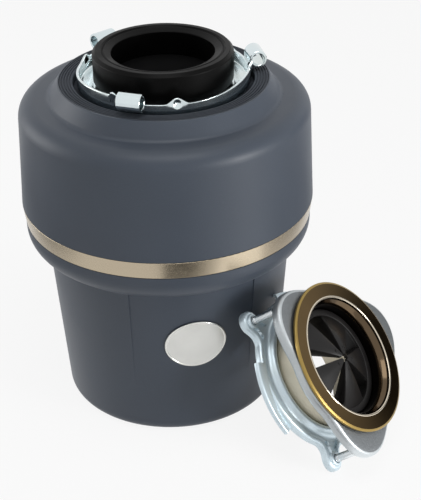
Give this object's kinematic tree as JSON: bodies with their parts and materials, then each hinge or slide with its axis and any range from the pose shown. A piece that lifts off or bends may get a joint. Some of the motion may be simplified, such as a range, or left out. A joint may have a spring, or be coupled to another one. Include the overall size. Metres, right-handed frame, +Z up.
{
  "type": "kitchen garbage disposal",
  "caption": "Round under-sink food waste disposer with a flared grey casing, bright trim band, black rubber mouth and locking ring, and its sink mount leaning beside it.",
  "frame": {"origin": "centre of the unit's base, on the motor axis, at the level that it stands on", "axes": "+Z up along the motor shaft, -Y the front with the oval plate, +Y the discharge outlet"},
  "size_m": [0.2851, 0.2661, 0.283],
  "materials": {
    "casing": "satin moulded grey-blue plastic",
    "trim": "bright satin champagne metal trim",
    "badge": "pale satin plate, bare",
    "black_rubber": "satin black rubber",
    "zinc_steel": "bright zinc-plated pressed steel",
    "moulded_black": "glass-filled black plastic",
    "sound_foam": "open foam sound jacket",
    "stainless": "ground stainless steel",
    "motor_casting": "die-cast aluminium",
    "bronze_bush": "sintered bronze",
    "shaft_steel": "ground carbon steel",
    "core_steel": "stacked electrical steel",
    "copper_wire": "enamelled copper",
    "cover_plate": "grey painted steel",
    "red_plastic": "red moulded plastic",
    "bronzed_steel": "polished steel with a dark bronze finish",
    "fibre": "pressed fibre",
    "cast_aluminium": "matte tumbled casting"
  },
  "bodies": {
    "housing": {"lower_housing": "casing", "upper_shroud": "casing", "trim_band": "trim", "badge_plate": "badge", "vibration_ring": "black_rubber", "mounting_neck": "black_rubber", "hopper": "moulded_black", "hopper_gasket": "black_rubber", "hopper_screws": "zinc_steel", "sound_jacket": "sound_foam", "dishwasher_inlet": "moulded_black", "inlet_plug": "moulded_black", "grind_ring": "stainless", "upper_end_frame": "motor_casting", "shaft_seal": "black_rubber", "upper_bearing": "bronze_bush", "lower_bearing": "bronze_bush", "stator_core": "core_steel", "stator_windings": "copper_wire", "lower_end_frame": "motor_casting", "through_bolts": "zinc_steel", "terminal_cover": "cover_plate", "cover_screws": "zinc_steel", "overload_protector": "moulded_black", "start_switch": "moulded_black"},
    "rotor": {"motor_shaft": "shaft_steel", "rotor": "core_steel", "turntable": "stainless", "turntable_nut": "stainless", "impeller_pins": "stainless"},
    "impeller_a": {"impeller_a": "stainless"},
    "impeller_b": {"impeller_b": "stainless"},
    "lock_ring": {"lower_mounting_ring": "zinc_steel"},
    "reset_button": {"reset_button": "red_plastic"},
    "sink_mount": {"sink_flange": "bronzed_steel", "fibre_gasket": "fibre", "backup_flange": "cast_aluminium", "upper_mounting_ring": "zinc_steel", "snap_ring": "shaft_steel"},
    "baffle": {"splash_baffle": "black_rubber"},
    "screw_1": {"mounting_screw_1": "zinc_steel"},
    "screw_2": {"mounting_screw_2": "zinc_steel"},
    "screw_3": {"mounting_screw_3": "zinc_steel"}
  },
  "joints": [
    {"name": "turntable_spin", "type": "hinge", "parent": "housing", "child": "rotor", "pos_m": [0, 0, 0.154], "axis": [0, 0, 1], "continuous": true},
    {"name": "impeller_a_swivel", "type": "hinge", "parent": "rotor", "child": "impeller_a", "pos_m": [0.042, 0, 0.157], "axis": [0, 0, 1], "continuous": true},
    {"name": "impeller_b_swivel", "type": "hinge", "parent": "rotor", "child": "impeller_b", "pos_m": [-0.042, 0, 0.157], "axis": [0, 0, 1], "continuous": true},
    {"name": "lock_ring_turn", "type": "hinge", "parent": "housing", "child": "lock_ring", "pos_m": [0, 0, 0.2532], "axis": [0, 0, 1], "continuous": true},
    {"name": "reset_press", "type": "slide", "parent": "housing", "child": "reset_button", "axis": [0, 0, 1], "range_m": [0, 0.003], "stiffness_N_per_m": 300},
    {"name": "mount_lift", "type": "slide", "parent": "housing", "child": "sink_mount", "axis": [0.6906, -0.3697, 0.6216], "range_m": [0, 0.25]},
    {"name": "baffle_pull", "type": "slide", "parent": "sink_mount", "child": "baffle", "axis": [0.6906, -0.3697, 0.6216], "range_m": [0, 0.06]},
    {"name": "screw_1_feed", "type": "slide", "parent": "sink_mount", "child": "screw_1", "axis": [0.6906, -0.3697, 0.6216], "range_m": [-0.008, 0]},
    {"name": "screw_2_feed", "type": "slide", "parent": "sink_mount", "child": "screw_2", "axis": [0.6906, -0.3697, 0.6216], "range_m": [-0.008, 0]},
    {"name": "screw_3_feed", "type": "slide", "parent": "sink_mount", "child": "screw_3", "axis": [0.6906, -0.3697, 0.6216], "range_m": [-0.008, 0]}
  ]
}
